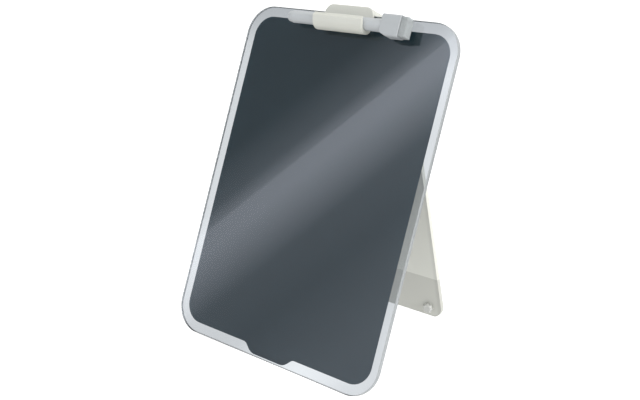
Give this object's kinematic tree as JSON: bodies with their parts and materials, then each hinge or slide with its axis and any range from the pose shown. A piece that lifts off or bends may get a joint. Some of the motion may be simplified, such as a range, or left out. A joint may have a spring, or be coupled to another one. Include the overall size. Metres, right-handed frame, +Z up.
{
  "type": "magnetic desk easel",
  "caption": "Leaning glass writing panel with steel behind it, on a folding leg, with a saddle clip that holds a capped marker across its top edge.",
  "frame": {"origin": "middle of the footprint, on the surface that the easel stands on", "axes": "+Z up; the writing face looks towards -Y and leans back; +X to the right when facing it"},
  "size_m": [0.22, 0.167, 0.288],
  "materials": {
    "clear_glass": "polished, greyish, with ground edges",
    "dark_print": "smooth opaque colour behind glass",
    "bonding_film": "smooth",
    "coated_steel": "steel sheet under a dark powder coat",
    "foam_tape": "closed-cell foam",
    "clip_plastic": "fine moulded texture",
    "leg_plastic": "fine moulded texture",
    "pin_steel": "turned",
    "clear_pad": "clear soft polyurethane",
    "marker_plastic": "satin",
    "ink_fibre": "bonded fibre",
    "holder_plastic": "smooth",
    "seal_rubber": "soft",
    "eraser_felt": "pressed felt"
  },
  "bodies": {
    "panel": {"glass_panel": "clear_glass", "colour_layer": "dark_print", "adhesive_film": "bonding_film", "steel_sheet": "coated_steel", "mounting_tape": "foam_tape", "pen_clip": "clip_plastic", "hinge_housing": "clip_plastic", "clamp_screws": "pin_steel", "hinge_pin": "pin_steel", "friction_washers": "pin_steel"},
    "stand": {"stand_leg": "leg_plastic", "bumper_pads": "clear_pad"},
    "marker": {"marker_barrel": "marker_plastic", "end_plug": "marker_plastic", "ink_reservoir": "ink_fibre", "nib_holder": "holder_plastic", "marker_nib": "ink_fibre"},
    "cap": {"cap_shell": "marker_plastic", "cap_seal": "seal_rubber", "eraser_felt": "eraser_felt"}
  },
  "joints": [
    {"name": "stand_fold", "type": "hinge", "parent": "panel", "child": "stand", "pos_m": [0, 0.04382, 0.27314], "axis": [-1, 0, 0], "range_deg": [0, 30.8]},
    {"name": "marker_slide", "type": "slide", "parent": "panel", "child": "marker", "axis": [1, 0, 0], "range_m": [-0.0165, 0.086]},
    {"name": "cap_pull", "type": "slide", "parent": "marker", "child": "cap", "axis": [1, 0, 0], "range_m": [0, 0.025]}
  ]
}
